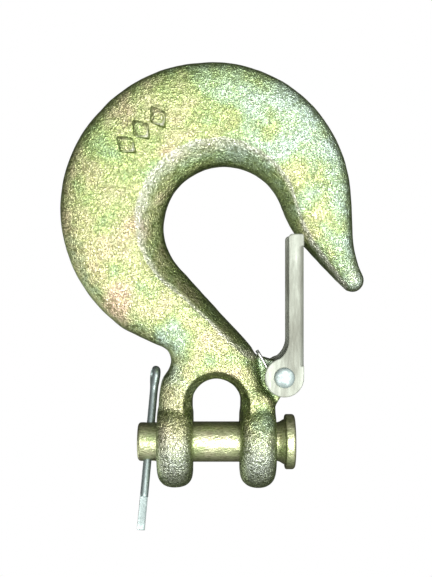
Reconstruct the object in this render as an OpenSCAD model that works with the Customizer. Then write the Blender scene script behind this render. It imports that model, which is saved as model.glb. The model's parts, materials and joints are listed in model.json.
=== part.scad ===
// Clevis slip hook with a spring safety latch, for a 3/8 in grade 70 chain.
// Frame: X across the hook, Y through its thickness, Z up from the clevis to the crown.
// Origin: on the clevis pin's axis, midway between the ears.

/* [Bowl] */
// Inside radius of the bowl
bowl_r = 18.3; // [15:0.5:24]
// Sideways offset of the bowl's centre from the clevis
bowl_x = 2.3; // [0:0.1:5]
// Height of the bowl's centre above the clevis pin
bowl_z = 64.2; // [58:0.1:80]
// Thickness of the forging across its flat faces
body_t = 17.6; // [14:0.2:22]

/* [Section widths] */
// Width of the forging where the bill begins
bill_w = 21.3; // [18:0.1:26]
// Width of the forging at the crown
crown_w = 30.3; // [25:0.1:36]
// Width of the forging at the back of the bowl
back_w = 31.6; // [26:0.1:37]
// Width of the forging at the heel
heel_w = 24.4; // [20:0.1:28]

/* [Tip] */
// Radius of the tip, seen on the flat face
tip_r = 3.3; // [2.7:0.1:4]
// Half thickness of the tip
tip_t = 3.4; // [2.6:0.1:4.5]
// Distance of the tip outside the bowl's inside wall
tip_out = 20.1; // [17:0.1:23]
// Drop of the tip below the bowl's centre
tip_drop = 15.9; // [13:0.1:19]

/* [Clevis] */
// Gap between the ears
clevis_gap = 14.6; // [12:0.1:18]
// Thickness of one ear
ear_t = 10.6; // [9:0.1:13]
// Metal between the pin hole and the rim of an ear
eye_wall = 7.3; // [6:0.1:9.5]
// Height of the arch's centre above the pin
arch_z = 12; // [10:0.1:15]
// Depth of the flare round the mouth of the arch
arch_flare = 2.6; // [1.5:0.1:3.2]
// Rounding of the ears' rims
ear_round = 4.4; // [2:0.1:4.6]

/* [Clevis pin] */
// Diameter of the pin where the chain bears
pin_d = 12; // [10:0.1:14.5]
// Gap all round between the pin and the ears' holes
pin_clear = 0.3; // [0.2:0.05:0.45]
// Diameter of the pin's head
pin_head_d = 16.4; // [15:0.1:20]
// Thickness of the pin's head
pin_head_t = 3; // [2:0.1:4]
// Standoff of the head from the ear
pin_head_gap = 2.5; // [1.5:0.1:4]
// Length of the pin past the other ear
pin_tail = 5.6; // [4.6:0.1:8]
// Step from the bearing land down to the pin's ends
pin_step = 0.25; // [0.2:0.05:0.4]
// Inset of each end of the bearing land from the ear beside it
land_inset = 0.3; // [0.25:0.05:0.6]

/* [Cotter pin] */
// Diameter of the two legs together
cotter_d = 2.4; // [2:0.1:2.8]
// Length of the longer leg below the eye
cotter_len = 43.6; // [36:0.5:48]
// How much shorter the other leg is
cotter_short = 9.6; // [2:0.1:14]
// Height of the eye's centre along the cotter above the pin's axis
cotter_eye_up = 20.4; // [17:0.1:22]
// Outside diameter of the eye
cotter_eye_d = 5.8; // [5:0.1:6.6]
// Lean of the cotter towards the ear, in degrees
cotter_lean = 4.2; // [0:0.1:4.5]
// Turn of the pin with its cotter about the pin's axis, in degrees
cotter_swing = 17; // [0:1:40]
// Turn of the eye about the cotter's own axis, in degrees
cotter_twist = 16; // [0:1:20]
// Gap all round between the cotter and its hole, when upright
cotter_clear = 0.6; // [0.55:0.05:0.8]

/* [Latch] */
// Sideways place of the latch's pivot outside the ear's outer face
pivot_out = 1.95; // [1.5:0.05:3]
// Height of the latch's pivot above the clevis pin
pivot_z = 19.8; // [17:0.05:22]
// Thickness of the latch's sheet
latch_sheet = 1.3; // [1:0.1:1.6]
// Width of the latch's arm
latch_arm_w = 4.5; // [4:0.1:5.2]
// Radius of the latch's round boss
latch_boss_r = 5.75; // [5.2:0.05:7]
// Thickness of the lug that carries the latch
lug_t = 6.8; // [5:0.1:8]
// Radius of the end of the lug
lug_r = 4.2; // [3.6:0.1:4.3]
// Room between the latch's web and the hook's bill
latch_stop_gap = 0.3; // [0.2:0.05:0.8]
// How far the cheeks reach past the web, along the arm
cheek_reach = 3.6; // [2:0.1:4.5]

/* [Spring and rivet] */
// Diameter of the spring's wire
wire_d = 1.0; // [0.8:0.1:1.1]
// Turns of wire on each side of the lug
coil_turns = 1.75; // [0.75:1:2.75]
// Diameter of the rivet
rivet_d = 4.5; // [4:0.1:4.8]
// Diameter of the rivet's heads
rivet_head_d = 6.0; // [5.6:0.1:7]
// Height of the rivet's heads
rivet_head_t = 1.2; // [0.8:0.1:1.6]
// Gap all round between the rivet and its holes
rivet_clear = 0.12; // [0.08:0.02:0.2]

/* [Hidden] */
$fn = 72;

steel_dichromate = "#c3c58a";
steel_latch = "#b9bba9";
steel_bright = "#c6d2cf";
steel_cotter = "#9fb0ac";

through = 60;               // length of a cut that goes right through
side_gap = 0.15;            // play beside each coil and each rivet head
half_t = body_t / 2;
half_gap = clevis_gap / 2;
ear_x = half_gap + ear_t;   // outer face of an ear
pin_r = pin_d / 2;
bore_r = pin_r + pin_clear;
eye_r = bore_r + eye_wall;
bowl_c = [bowl_x, bowl_z];
tip_c = bowl_c + [bowl_r + tip_out, -tip_drop];

// ---- curves on the hook's flat face, as [x, z] ----

function dir(a) = [cos(a), sin(a)];
function unit(v) = v / norm(v);
function bezier(p, t) = let (s = 1 - t)
    s * s * s * p[0] + 3 * s * s * t * p[1] + 3 * s * t * t * p[2] + t * t * t * p[3];
// Value or point between b and c, on a smooth curve that also heads for a and d
function spline(a, b, c, d, t) =
    0.5 * (2 * b + (c - a) * t + (2 * a - 5 * b + 4 * c - d) * t * t + (3 * b - a - 3 * c + d) * t * t * t);
function spline_list(p, steps) = [
    for (i = [0:len(p) - 2]) for (k = [0:steps - 1])
        spline(p[max(i - 1, 0)], p[i], p[i + 1], p[min(i + 2, len(p) - 1)], k / steps),
    p[len(p) - 1]];

// A station is one cross-section: [inner edge, outer edge, half thickness].
// The bowl's stations stand on rays from its centre, and their widths run
// smoothly through the four named ones.
bowl_knots = [20, 90, 160, 225];
bowl_widths = [bill_w, crown_w, back_w, heel_w];
function knot_slope(i) = let (a = max(i - 1, 0), b = min(i + 1, 3))
    (bowl_widths[b] - bowl_widths[a]) / (bowl_knots[b] - bowl_knots[a]);
function bowl_width(a) = let (
    i = a < bowl_knots[1] ? 0 : a < bowl_knots[2] ? 1 : 2,
    span = bowl_knots[i + 1] - bowl_knots[i],
    t = (a - bowl_knots[i]) / span)
    (2 * t * t * t - 3 * t * t + 1) * bowl_widths[i] + (t * t * t - 2 * t * t + t) * span * knot_slope(i)
    + (3 * t * t - 2 * t * t * t) * bowl_widths[i + 1] + (t * t * t - t * t) * span * knot_slope(i + 1);
function bowl_in(a) = bowl_c + bowl_r * dir(a);
function bowl_out(a) = bowl_c + (bowl_r + bowl_width(a)) * dir(a);

// The bill runs from the bowl to the tip between two curves. Its inner one ends as
// a straight face at 45 degrees, which is what the latch closes against.
bill_a = bowl_knots[0];
bill_face = -45;
tip_heading = -60;
tip_in = tip_c + tip_r * dir(bill_face - 90);
tip_side = tip_c + tip_r * dir(tip_heading + 90);
bill_in_curve = [bowl_in(bill_a), bowl_in(bill_a) + 10 * dir(bill_a - 90),
    tip_in - 16 * dir(bill_face), tip_in];
bill_out_curve = [bowl_out(bill_a), bowl_out(bill_a) + 12 * dir(bill_a - 102),
    tip_side - 9.5 * dir(-64), tip_side];
bill_steps = 10;
function bill_half_t(t) = half_t + (tip_t - half_t) * (0.35 * t + 0.65 * t * t);

// The neck: from the heel across to the clevis. Left is the outer edge.
neck_left = ear_x - 4;
neck_right = ear_x - 5.4;
heel_in = bowl_in(bowl_knots[3]);
neck_in = [neck_right, pivot_z + 6.6];
neck_stations = [
    [heel_in, bowl_out(bowl_knots[3]), half_t],
    [heel_in + 0.30 * (neck_in - heel_in), [-neck_left - 6.6, 30.2], half_t],
    [heel_in + 0.62 * (neck_in - heel_in), [-neck_left - 1.5, 27.9], half_t],
    [neck_in + [-1.2, 1.1], [-neck_left, 25.2], half_t],
    [neck_in + [0.3, -4.4], [-neck_left - 0.6, 22], half_t],
    [[ear_x - 4.2, arch_z + 5], [-ear_x + 1.2, 18.2], half_t + 0.1],
    [[ear_x - 0.4, arch_z + 0.3], [-ear_x + 0.4, 12.3], half_t + 0.4],
    [[ear_x - 0.3, 4], [-ear_x + 0.5, 4], half_t + 0.7],
    [[ear_x - 0.9, -2], [-ear_x + 0.9, -2], half_t + 0.7]];

bowl_steps = 26;
bowl_sweep = bowl_knots[3] - bowl_knots[0];
tip_cap = [75, 50, 25];
neck_steps = 3;
stations = concat(
    [for (a = tip_cap) let (c = tip_c + tip_r * sin(a) * dir(tip_heading), side = dir(tip_heading + 90))
        [c - tip_r * cos(a) * side, c + tip_r * cos(a) * side, tip_t * cos(a)]],
    [for (k = [bill_steps:-1:1]) let (t = k / bill_steps)
        [bezier(bill_in_curve, t), bezier(bill_out_curve, t), bill_half_t(t)]],
    [for (k = [0:bowl_steps - 1]) let (a = bill_a + k * bowl_sweep / bowl_steps)
        [bowl_in(a), bowl_out(a), half_t]],
    spline_list(neck_stations, neck_steps));

// Cross-section: fully rounded on the inner edge, squarer on the outer one
inner_power = 2.5;
outer_power = 4.2;
ring_n = 24;
function power(v, n) = sign(v) * pow(abs(v), 2 / n);
function ring(s) = let (mid = (s[0] + s[1]) / 2, half = (s[1] - s[0]) / 2)
    [for (k = [0:ring_n - 1]) let (
        a = 360 * k / ring_n,
        n = cos(a) < 0 ? inner_power : outer_power,
        c = mid + power(cos(a), n) * half)
        [c[0], power(sin(a), n) * s[2], c[1]]];

// Closed tube through a list of rings of n points each
module tube(rings, n) {
    last = len(rings) - 1;
    polyhedron(
        points = [for (r = rings) for (p = r) p],
        faces = concat(
            [[for (k = [0:n - 1]) k]],
            [for (i = [0:last - 1]) for (k = [0:n - 1])
                [i * n + k, (i + 1) * n + k, i * n + (k + 1) % n]],
            [for (i = [0:last - 1]) for (k = [0:n - 1])
                [i * n + (k + 1) % n, (i + 1) * n + k, (i + 1) * n + (k + 1) % n]],
            [[for (k = [n - 1:-1:0]) last * n + k]]));
}

// ---- the forging ----

// Rounded plate on a half plane: r out from the axis, w long, rounded at its rim
module rim_profile(r, w, c) {
    translate([0, -w / 2]) square([r - c, w]);
    translate([0, -w / 2 + c]) square([r, w - 2 * c]);
    for (s = [-1, 1]) translate([r - c, s * (w / 2 - c)]) circle(c);
}

module ear(side) {
    translate([side * (half_gap + ear_t / 2), 0, 0])
        rotate([0, 90, 0]) rotate_extrude()
            intersection() {
                rim_profile(eye_r, ear_t, ear_round);
                translate([0, -ear_t]) square([2 * eye_r, 2 * ear_t]);
            }
}

// The arch's opening, with its mouth flared on both faces. It is a little wider
// than the gap between the ears, whose faces stand proud of it.
arch_r = half_gap + 0.2;
module arch_cut() {
    rotate([90, 0, 0]) linear_extrude(through, center = true) {
        translate([0, arch_z]) circle(arch_r);
        translate([-arch_r, arch_z - through]) square([2 * arch_r, through]);
    }
    for (s = [-1, 1]) translate([0, s * (half_t + 1 - arch_flare), 0]) {
        translate([0, 0, arch_z]) rotate([-90 * s, 0, 0])
            cylinder(h = 2 * arch_flare, r1 = arch_r - 0.01, r2 = arch_r + 2 * arch_flare);
        rotate([0, 0, s < 0 ? 180 : 0]) translate([0, 0, -through + arch_z]) linear_extrude(through)
            polygon([[-arch_r, 0], [arch_r, 0],
                [arch_r + 2 * arch_flare, 2 * arch_flare], [-arch_r - 2 * arch_flare, 2 * arch_flare]]);
    }
}

pivot = [ear_x + pivot_out, pivot_z];
module lug() {
    rotate([90, 0, 0]) linear_extrude(lug_t, center = true) {
        translate(pivot) circle(lug_r);
        polygon([pivot + 0.8 * lug_r * dir(100), neck_in + [-0.6, -0.3], [half_gap, arch_z + 8],
            [half_gap + 4, arch_z], [ear_x - 0.5, arch_z - 3], [ear_x + 1.1, arch_z + 1.2], pivot + 0.8 * lug_r * dir(275)]);
    }
}

module hook_body() {
    color(steel_dichromate)
    difference() {
        union() {
            difference() {
                tube([for (s = stations) ring(s)], ring_n);
                arch_cut();
            }
            for (s = [-1, 1]) ear(s);
            lug();
        }
        rotate([0, 90, 0]) cylinder(h = through, r = bore_r, center = true);
        translate([pivot[0], 0, pivot[1]]) rotate([90, 0, 0])
            cylinder(h = through, r = rivet_d / 2 + rivet_clear, center = true);
    }
}

// ---- clevis pin ----

pin_end_r = pin_r - pin_step;
pin_head_x = ear_x + pin_head_gap;
pin_tail_x = -(ear_x + pin_tail);
land_x = half_gap - land_inset;
pin_chamfer = 0.9;
cotter_x = -(ear_x + 2.3);
cotter_hole_r = cotter_d / 2 + cotter_clear;

// Half section of the pin, as [radius, x]
module pin_profile() {
    polygon([
        [0, pin_tail_x], [pin_end_r - pin_chamfer, pin_tail_x], [pin_end_r, pin_tail_x + pin_chamfer],
        [pin_end_r, -land_x], [pin_r, -land_x], [pin_r, land_x], [pin_end_r, land_x],
        [pin_end_r, pin_head_x - 2.2], [pin_end_r + 0.9, pin_head_x],
        [0, pin_head_x]]);
    translate([0, pin_head_x + pin_head_t / 2]) intersection() {
        rim_profile(pin_head_d / 2, pin_head_t, 0.8);
        translate([0, -pin_head_t]) square([pin_head_d, 2 * pin_head_t]);
    }
}

module in_cotter_frame() {
    translate([cotter_x, 0, 0]) rotate([-cotter_swing, 0, 0]) children();
}

module clevis_pin() {
    color(steel_dichromate)
    difference() {
        rotate([0, 90, 0]) rotate_extrude() pin_profile();
        in_cotter_frame() cylinder(h = through, r = cotter_hole_r, center = true);
    }
}

// ---- cotter pin ----

cotter_r = cotter_d / 2;
leg_split = 0.12;
eye_mid_r = cotter_eye_d / 2 - cotter_r / 2;

// Half round wire section: flat side on the axis of the second coordinate
module half_round() {
    intersection() {
        circle(cotter_r);
        translate([leg_split / 2, -cotter_r]) square([cotter_r, cotter_d]);
    }
}

module cotter_leg(side, length) {
    translate([0, 0, cotter_eye_up - cotter_eye_d / 2 + 0.4 - length]) rotate([0, 0, side * 90])
        linear_extrude(length) half_round();
}

module cotter_pin() {
    color(steel_cotter)
    in_cotter_frame() rotate([0, cotter_lean, 0]) rotate([0, 0, cotter_twist]) {
        cotter_leg(1, cotter_len);
        cotter_leg(-1, cotter_len - cotter_short);
        translate([0, 0, cotter_eye_up]) rotate([0, 90, 0])
            rotate_extrude() translate([cotter_eye_d / 2 - cotter_r, 0]) half_round();
    }
}

// ---- latch ----

// Closed, the arm stands straight up and its web's top edge stops just short of the
// bill's 45 degree face, inside which the web closes.
web_side = latch_boss_r;
coil_w = wire_d * (coil_turns + 1) * 1.06;
latch_in = lug_t / 2 + coil_w + 2 * side_gap;
latch_out = latch_in + latch_sheet;
face_n = dir(bill_face + 90);
function face_gap(p) = (p - tip_in) * face_n;
arm_up = -face_gap(pivot + [web_side - latch_sheet, 0]) / (dir(90) * face_n);
web_top = arm_up - latch_stop_gap * sqrt(2) - latch_sheet;
cheek_top = web_top + cheek_reach;
web_bottom = 2.4;
arm_left = web_side - latch_arm_w;
blend_r = 7;

module cheek_outline() {
    circle(latch_boss_r);
    translate([arm_left, 0]) square([latch_arm_w, cheek_top - 1.2]);
    translate([arm_left + 1.2, 0]) square([latch_arm_w - 1.2, cheek_top]);
    translate([arm_left + 1.2, cheek_top - 1.2]) circle(1.2);
    difference() {
        translate([arm_left - 3.4, 0]) square([3.5, 11]);
        translate([arm_left - blend_r, 11]) circle(blend_r);
    }
}

module latch() {
    color(steel_latch)
    translate([pivot[0], 0, pivot[1]]) difference() {
        union() {
            for (s = [-1, 1]) translate([0, s * (latch_in + latch_sheet / 2), 0])
                rotate([90, 0, 0]) linear_extrude(latch_sheet, center = true) cheek_outline();
            translate([web_side - latch_sheet, -latch_in - 0.1, web_bottom])
                cube([latch_sheet, 2 * latch_in + 0.2, web_top - web_bottom]);
        }
        rotate([90, 0, 0]) cylinder(h = through, r = rivet_d / 2 + rivet_clear, center = true);
    }
}

// ---- rivet ----

module latch_rivet() {
    color(steel_bright)
    translate([pivot[0], 0, pivot[1]]) rotate([90, 0, 0]) {
        cylinder(h = 2 * (latch_out + side_gap), r = rivet_d / 2, center = true);
        for (s = [0, 1]) mirror([0, 0, s]) translate([0, 0, latch_out + side_gap]) {
            cylinder(h = rivet_head_t * 0.45, r = rivet_head_d / 2);
            translate([0, 0, rivet_head_t * 0.45])
                cylinder(h = rivet_head_t * 0.55, r1 = rivet_head_d / 2, r2 = rivet_head_d / 2 - 1.1);
        }
    }
}

// ---- spring ----

coil_r = rivet_d / 2 + wire_d / 2 + 0.15;
wire_sides = 8;
coil_rings = 14;
leg_y = lug_t / 2 + side_gap + wire_d / 2;
bar_z = 15;
bar_x = web_side - latch_sheet - wire_d / 2 - 0.1;
hook_leg = [-7.6, 7.3];
// The coil starts where the hook-side leg runs on to its lower left, winds up
// anticlockwise and ends where the wire leaves straight up for the latch.
leg_a = atan2(hook_leg[1], hook_leg[0]) + acos(coil_r / norm(hook_leg));
coil_sweep = 360 * ceil(coil_turns) - leg_a;
// Centre line of one half, as [x, y, z] from the pivot
half_route = concat(
    [[hook_leg[0], leg_y, hook_leg[1]]],
    [for (k = [0:ceil(coil_turns * coil_rings)]) let (
        t = k / ceil(coil_turns * coil_rings), a = leg_a + t * coil_sweep)
        [coil_r * cos(a), leg_y + t * (coil_w - wire_d), coil_r * sin(a)]],
    [[coil_r + 0.2, leg_y + coil_w - wire_d, 4],
     [bar_x, leg_y + coil_w - wire_d, bar_z - 3],
     [bar_x, leg_y + coil_w - wire_d, bar_z - 1.2],
     [bar_x, leg_y + coil_w - wire_d - 1.2, bar_z]]);
function mirrored(p) = [for (k = [len(p) - 1:-1:0]) [p[k][0], -p[k][1], p[k][2]]];
spring_route = concat(half_route, mirrored(half_route));
function route_heading(p, k) = unit(p[min(k + 1, len(p) - 1)] - p[max(k - 1, 0)]);
// Ring of the wire at point k: stands square to the route
function wire_ring(p, k) = let (
    t = route_heading(p, k),
    ref = abs(t[1]) > 0.75 ? [1, 0, 0] : [0, 1, 0],
    u = unit(cross(t, ref)), v = cross(t, u))
    [for (j = [0:wire_sides - 1]) p[k] + wire_d / 2 * (cos(360 * j / wire_sides) * u
        + sin(360 * j / wire_sides) * v)];

module latch_spring() {
    color(steel_bright)
    translate([pivot[0], 0, pivot[1]])
        tube([for (k = [0:len(spring_route) - 1]) wire_ring(spring_route, k)], wire_sides);
}

hook_body();
clevis_pin();
cotter_pin();
latch();
latch_rivet();
latch_spring();
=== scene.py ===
"""Looks of a forged clevis slip hook with its spring latch, headed pin and cotter pin.

Shapes are worked out in millimetres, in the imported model's frame: X across the hook,
Y through its thickness, Z from the clevis to the crown, origin on the clevis pin's axis.
Meshes are stored in metres.
"""

import json
import logging
import math
from dataclasses import dataclass, field
from enum import Enum

import bmesh
import bpy
import numpy as np
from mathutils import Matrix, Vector

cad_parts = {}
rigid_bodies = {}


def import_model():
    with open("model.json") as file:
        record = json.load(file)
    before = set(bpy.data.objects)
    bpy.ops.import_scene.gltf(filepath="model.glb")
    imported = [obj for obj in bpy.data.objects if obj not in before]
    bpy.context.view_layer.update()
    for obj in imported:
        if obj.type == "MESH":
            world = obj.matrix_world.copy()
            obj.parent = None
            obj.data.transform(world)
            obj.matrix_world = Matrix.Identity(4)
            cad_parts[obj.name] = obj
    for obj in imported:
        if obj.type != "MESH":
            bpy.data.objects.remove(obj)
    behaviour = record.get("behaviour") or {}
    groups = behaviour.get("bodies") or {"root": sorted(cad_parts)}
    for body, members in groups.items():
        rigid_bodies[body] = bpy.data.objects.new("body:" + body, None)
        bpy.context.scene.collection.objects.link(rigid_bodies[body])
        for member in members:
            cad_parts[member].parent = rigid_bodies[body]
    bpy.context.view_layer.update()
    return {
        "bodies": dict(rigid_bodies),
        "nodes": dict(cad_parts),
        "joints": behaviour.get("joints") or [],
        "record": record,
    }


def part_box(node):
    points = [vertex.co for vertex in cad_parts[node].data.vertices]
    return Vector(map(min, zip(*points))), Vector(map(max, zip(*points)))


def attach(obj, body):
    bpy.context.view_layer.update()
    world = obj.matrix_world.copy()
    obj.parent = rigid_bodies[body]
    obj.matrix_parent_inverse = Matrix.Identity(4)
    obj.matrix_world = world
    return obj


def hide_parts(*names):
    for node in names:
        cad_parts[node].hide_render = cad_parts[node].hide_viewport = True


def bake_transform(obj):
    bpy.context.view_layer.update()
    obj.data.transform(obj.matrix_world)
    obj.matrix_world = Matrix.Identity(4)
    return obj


MM = 0.001
RIVET_HOLE_R = 2.37

Piece = bpy.types.Object
Material = bpy.types.Material
Node = bpy.types.Node
Socket = bpy.types.NodeSocket
Triple = tuple[float, float, float]
Stops = tuple[tuple[float, Triple], ...]

log = logging.getLogger("hook")


# ---------------------------------------------------------------- curves and surfaces


def direction(degrees: np.ndarray) -> np.ndarray:
    """Unit vectors [cos, sin] of angles in degrees, one row each."""
    a = np.radians(np.asarray(degrees, float))
    return np.stack([np.cos(a), np.sin(a)], axis=-1)


def bezier(points: np.ndarray, t: np.ndarray) -> np.ndarray:
    """Cubic Bezier curve.

    Args:
        points: the four control points, one a row.
        t: places along the curve, from 0 to 1.

    Returns:
        One point a row: the Bernstein-weighted mean of the four control points.
    """
    s = 1.0 - t
    weights = np.stack([s**3, 3 * s**2 * t, 3 * s * t**2, t**3], axis=1)
    return weights @ np.asarray(points, float)


def spline(points: np.ndarray, steps: int) -> np.ndarray:
    """Catmull-Rom curve through points, with its ends repeated.

    Args:
        points: what the curve passes through, one point a row, of any dimension.
        steps: samples in each span.

    Returns:
        The samples, ending at the last point.
    """
    p = np.asarray(points, float)
    a, b = np.vstack([p[:1], p[:-2]]), p[:-1]
    c, d = p[1:], np.vstack([p[2:], p[-1:]])
    t = (np.arange(steps) / steps)[None, :, None]
    a, b, c, d = (q[:, None, :] for q in (a, b, c, d))
    square, cube = 2 * a - 5 * b + 4 * c - d, 3 * b - a - 3 * c + d
    curve = 0.5 * (2 * b + (c - a) * t + square * t**2 + cube * t**3)
    return np.vstack([curve.reshape(-1, p.shape[1]), p[-1:]])


def arc(centre: tuple[float, float], radius: float, start: float, end: float, count: int = 9) -> np.ndarray:
    """A circle's arc as count points, from the start angle to the end angle, in degrees."""
    return np.array(centre) + radius * direction(np.linspace(start, end, count))


def signed_power(value: np.ndarray, power: np.ndarray) -> np.ndarray:
    """value raised to 2 / power with its sign kept: the shape function of a superellipse."""
    return np.sign(value) * np.abs(value) ** (2.0 / power)


def lattice_noise(points: np.ndarray, size: float, seed: int) -> np.ndarray:
    """Smooth noise from -1 to 1 at points in space.

    Each corner of a cubic lattice gets a value hashed from its whole-number place, and a
    point takes the smoothstep-weighted mean of the eight corners round it.

    Args:
        points: one place a row.
        size: the lattice's spacing, in the points' unit.
        seed: another pattern for each whole number.

    Returns:
        One value for each point.
    """
    scaled = points / size + 1000.0
    cell = np.floor(scaled).astype(np.int64)
    local = scaled - cell
    weight = local * local * (3 - 2 * local)
    total = np.zeros(len(points))
    for corner in np.ndindex(2, 2, 2):
        key = (cell + np.array(corner)) @ np.array([73856093, 19349663, 83492791]) + seed * 2654435761
        key = (key ^ (key >> 13)) * 1274126177 % 4294967296
        key = (key ^ (key >> 16)) % 65536
        side = np.where(np.array(corner) == 1, weight, 1 - weight)
        total += side.prod(axis=1) * (key / 32767.5 - 1.0)
    return total


def closed_tube(rings: np.ndarray) -> tuple[np.ndarray, list[list[int]]]:
    """Skin over rings of points, closed by one flat face at each end.

    Args:
        rings: array of shape (rings, points in a ring, 3).

    Returns:
        The vertices, and the faces as lists of vertex numbers.
    """
    rows, cols, _ = rings.shape
    here = np.arange(rows - 1)[:, None] * cols + np.arange(cols)[None, :]
    beside = np.arange(rows - 1)[:, None] * cols + (np.arange(cols)[None, :] + 1) % cols
    quads = np.stack([here, here + cols, beside + cols, beside], axis=-1).reshape(-1, 4)
    ends = [list(range(cols)), list(range(rows * cols - 1, (rows - 1) * cols - 1, -1))]
    return rings.reshape(-1, 3), quads.tolist() + ends


def revolved(profile: np.ndarray, segments: int) -> np.ndarray:
    """Turns a half outline about the X axis.

    Args:
        profile: rows of the place along the axis and the radius there.
        segments: points in each ring.

    Returns:
        Rings, one for each row.
    """
    a = np.linspace(0, 2 * np.pi, segments, endpoint=False)
    x = np.repeat(profile[:, :1], segments, axis=1)
    y = profile[:, 1:] * np.cos(a)[None, :]
    z = profile[:, 1:] * np.sin(a)[None, :]
    return np.stack([x, y, z], axis=-1)


def swept_wire(path: np.ndarray, radius: float, sides: int) -> np.ndarray:
    """Rings of a round wire along a path in space, each square to the path.

    The ring's frame is carried along without twist: each step takes the last frame's
    first axis, less its part along the new heading.

    Args:
        path: the centre line, one point a row.
        radius: the wire's radius.
        sides: points in each ring.

    Returns:
        Rings, one for each point.
    """
    heading = np.gradient(path, axis=0)
    heading /= np.linalg.norm(heading, axis=1, keepdims=True)
    across = np.zeros_like(heading)
    guide = np.array([0.0, 1.0, 0.0]) if abs(heading[0, 1]) < 0.9 else np.array([1.0, 0.0, 0.0])
    for k, ahead in enumerate(heading):
        guide = guide - ahead * (guide @ ahead)
        guide = guide / np.linalg.norm(guide)
        across[k] = guide
    other = np.cross(heading, across)
    a = np.linspace(0, 2 * np.pi, sides, endpoint=False)
    return path[:, None, :] + radius * (
        np.cos(a)[None, :, None] * across[:, None, :] + np.sin(a)[None, :, None] * other[:, None, :]
    )


def carried(outline: np.ndarray, places: np.ndarray, axis: int) -> np.ndarray:
    """Carries a flat outline square to itself.

    Args:
        outline: its points, one a row, along the other two axes in their order.
        places: where each ring stands along the axis.
        axis: 1 for Y or 2 for Z.

    Returns:
        Rings, one for each place.
    """
    rings = np.zeros((len(places), len(outline), 3))
    rings[:, :, [k for k in range(3) if k != axis]] = outline
    rings[:, :, axis] = np.asarray(places)[:, None]
    return rings


def round_bar(radius: float, segments: int, half_length: float = 20.0) -> np.ndarray:
    """The two end rings of a round bar along X, to cut a hole with."""
    return revolved(np.array([[-half_length, radius], [half_length, radius]]), segments)


# ---------------------------------------------------------------- meshes


def mesh_object(name: str, verts: np.ndarray, faces: list[list[int]]) -> Piece:
    """Makes an object, with its faces turned outwards.

    Args:
        name: the object's name and its mesh's.
        verts: places in millimetres, one a row.
        faces: lists of vertex numbers.

    Returns:
        The new object, in the scene.
    """
    mesh = bpy.data.meshes.new(name)
    mesh.from_pydata((verts * MM).tolist(), [], faces)
    bm = bmesh.new()
    bm.from_mesh(mesh)
    bmesh.ops.recalc_face_normals(bm, faces=bm.faces)
    bm.to_mesh(mesh)
    bm.free()
    piece = bpy.data.objects.new(name, mesh)
    bpy.context.scene.collection.objects.link(piece)
    return piece


def tube_object(name: str, rings: np.ndarray) -> Piece:
    """New object: the closed skin over rings of points."""
    return mesh_object(name, *closed_tube(rings))


def settle(piece: Piece) -> None:
    """Applies every modifier of a piece to its mesh.

    Args:
        piece: the object.
    """
    bpy.context.view_layer.update()
    evaluated = piece.evaluated_get(bpy.context.evaluated_depsgraph_get())
    mesh = bpy.data.meshes.new_from_object(evaluated)
    piece.modifiers.clear()
    old = piece.data
    piece.data = mesh
    bpy.data.meshes.remove(old)
    mesh.name = piece.name


def cut(piece: Piece, *tools: Piece) -> None:
    """Takes solids out of a piece.

    Args:
        piece: what is cut.
        tools: the solids, which are deleted afterwards.
    """
    for tool in tools:
        step = piece.modifiers.new("cut", "BOOLEAN")
        step.operation = "DIFFERENCE"
        step.solver = "EXACT"
        step.object = tool
    settle(piece)
    for tool in tools:
        bpy.data.objects.remove(tool)


def vertex_values(piece: Piece, attribute: str) -> np.ndarray:
    """Reads a vector that each vertex has.

    Args:
        piece: the object.
        attribute: "co" or "normal".

    Returns:
        One vector a row.
    """
    values = np.zeros(len(piece.data.vertices) * 3)
    piece.data.vertices.foreach_get(attribute, values)
    return values.reshape(-1, 3)


def coordinates(piece: Piece) -> np.ndarray:
    """Vertex places of a piece, in millimetres, one a row."""
    return vertex_values(piece, "co") / MM


def set_coordinates(piece: Piece, points: np.ndarray) -> None:
    """Moves a piece's vertices to places in millimetres."""
    piece.data.vertices.foreach_set("co", (points * MM).ravel())
    piece.data.update()


def vertex_normals(piece: Piece) -> np.ndarray:
    """Vertex normals of a piece, one a row."""
    return vertex_values(piece, "normal")


def relax(piece: Piece, rounds: int) -> None:
    """Smooths a dense mesh without shrinking it.

    Each round moves every vertex 0.5 of the way to the mean of its neighbours and then
    0.52 of the way back out, which takes away short waves and keeps the long ones.

    Args:
        piece: the object whose mesh is smoothed.
        rounds: how many rounds.
    """
    mesh = piece.data
    edges = np.zeros(len(mesh.edges) * 2, np.int64)
    mesh.edges.foreach_get("vertices", edges)
    start, end = edges.reshape(-1, 2).T
    count = len(mesh.vertices)
    both, other = np.concatenate([start, end]), np.concatenate([end, start])
    valence = np.maximum(np.bincount(both, minlength=count), 1)[:, None]
    points = coordinates(piece)
    for _ in range(rounds):
        for share in (0.5, -0.52):
            total = np.stack([np.bincount(both, points[other, k], count) for k in range(3)], axis=1)
            points = points + share * (total / valence - points)
    set_coordinates(piece, points)


def join(piece: Piece, parts: list[Piece]) -> None:
    """Adds the meshes of other objects to a piece's mesh.

    Args:
        piece: the object that takes them.
        parts: the others, which are deleted afterwards.
    """
    bm = bmesh.new()
    bm.from_mesh(piece.data)
    for part in parts:
        bm.from_mesh(part.data)
        bpy.data.objects.remove(part)
    bm.to_mesh(piece.data)
    bm.free()


def fuse(name: str, parts: list[Piece], voxel: float, rounds: int) -> Piece:
    """Melts overlapping solids into one skin with small fillets where they meet.

    Args:
        name: the new piece's name.
        parts: closed solids, which are used up.
        voxel: grid of the new skin, in millimetres.
        rounds: rounds of smoothing.

    Returns:
        The fused piece.
    """
    piece = parts[0]
    piece.name = name
    join(piece, parts[1:])
    step = piece.modifiers.new("melt", "REMESH")
    step.mode = "VOXEL"
    step.voxel_size = voxel * MM
    settle(piece)
    relax(piece, rounds)
    return piece


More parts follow.
